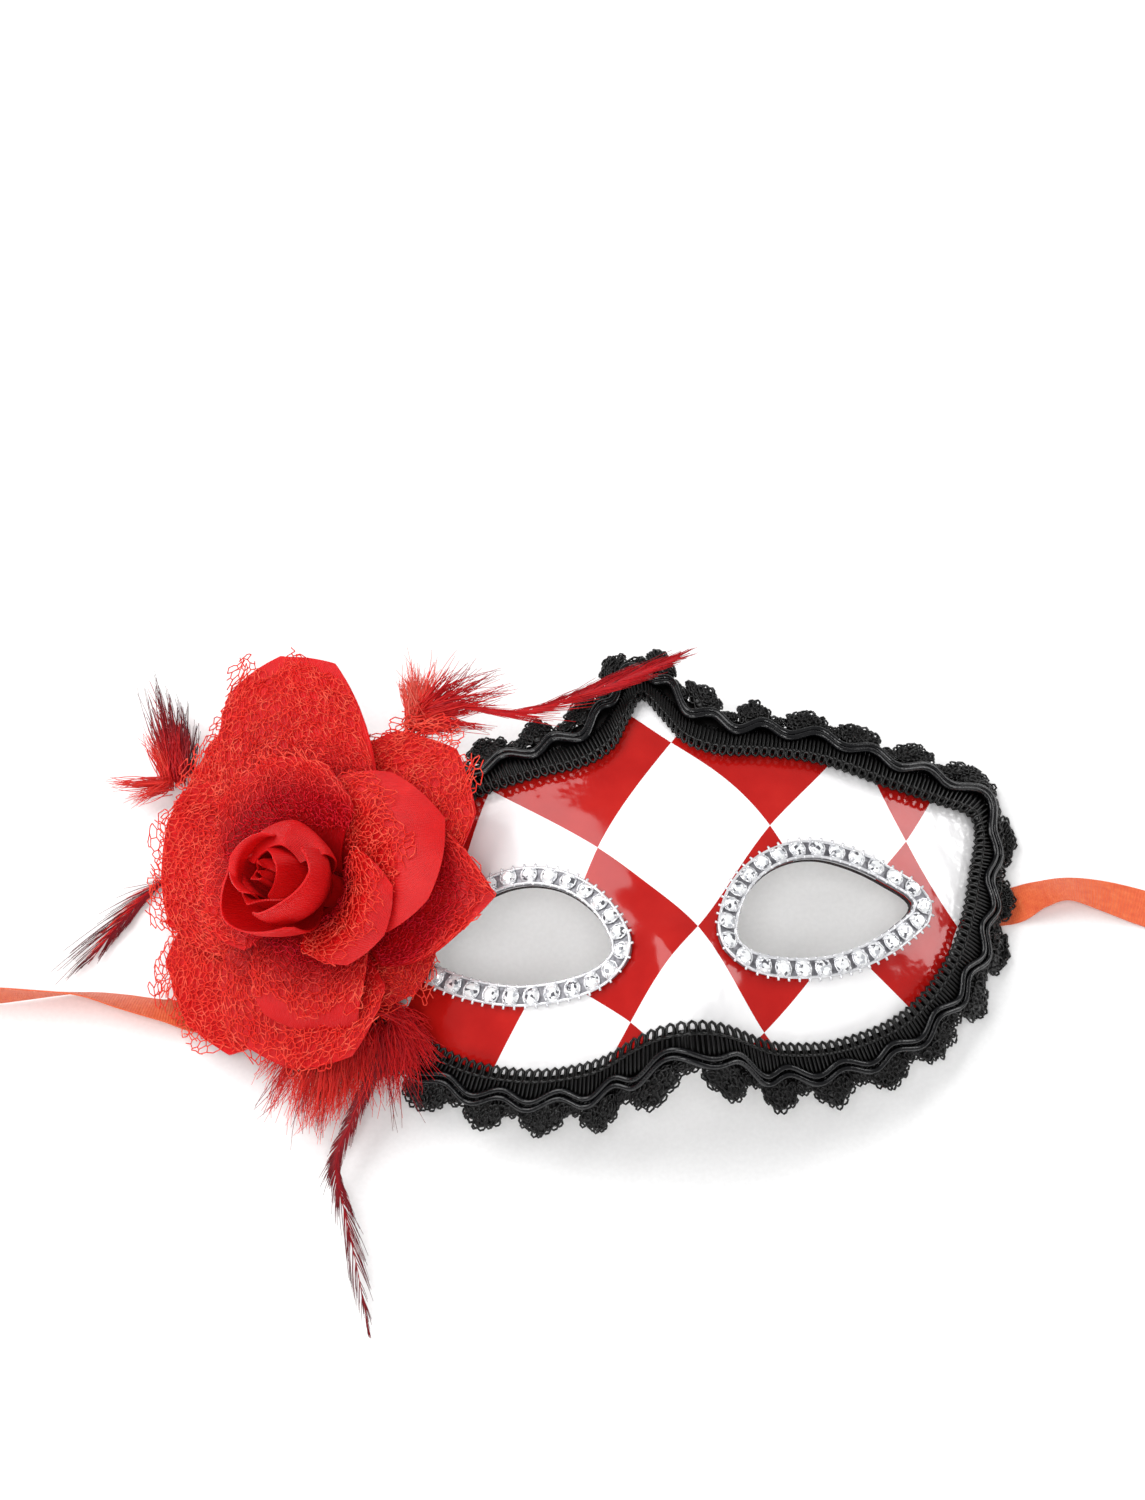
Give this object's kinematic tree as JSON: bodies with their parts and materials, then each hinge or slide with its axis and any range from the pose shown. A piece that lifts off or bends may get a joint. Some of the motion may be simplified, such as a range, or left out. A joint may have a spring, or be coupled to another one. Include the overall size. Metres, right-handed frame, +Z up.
{
  "type": "masquerade eye mask",
  "caption": "Harlequin half mask for the eyes with braid round its edge, stone trim round each eye, a cloth rose with feathers on one temple, and ribbon ties.",
  "frame": {"origin": "middle of the footprint of the mask, its rose and its feathers, without the ribbon ties, on the table the mask lies on face up", "axes": "+X across the face to the temple without the rose, +Y from the nose towards the forehead, +Z up out of the face"},
  "size_m": [0.311, 0.1844, 0.0664],
  "materials": {
    "face": "glossy vinyl in red and white diamonds",
    "braid": "black woven and crocheted braid",
    "cord": "black double cord with a slight sheen",
    "stones": "cut clear stones on a silvered setting",
    "rose": "stiffened red cloth under red net",
    "feather": "dyed feather",
    "ribbon": "fine ribbed ribbon"
  },
  "bodies": {
    "root": {"shell": "face", "gimp_braid": "braid", "soutache_wave": "cord", "eye_trim_right": "stones", "eye_trim_left": "stones", "rose_core": "rose", "rose_petal_outer_left": "rose", "rose_petal_outer_low_right": "rose", "rose_petal_outer_high_right": "rose", "rose_petal_outer_shoulder": "rose", "rose_petal_outer_high_left": "rose", "rose_petal_outer_bottom": "rose", "rose_petal_outer_right": "rose", "rose_petal_outer_top": "rose", "rose_petal_middle_left": "rose", "rose_petal_middle_right": "rose", "rose_petal_middle_bottom": "rose", "rose_petal_middle_top": "rose", "rose_petal_middle_low": "rose", "rose_petal_bud_wide": "rose", "rose_petal_bud_side": "rose", "rose_petal_bud_front": "rose", "rose_petal_bud_heart": "rose", "feather_tuft_left": "feather", "hackle_left": "feather", "feather_tuft_top": "feather", "feather_tuft_bottom": "feather", "ribbon_right": "ribbon", "ribbon_left": "ribbon"}
  },
  "joints": []
}
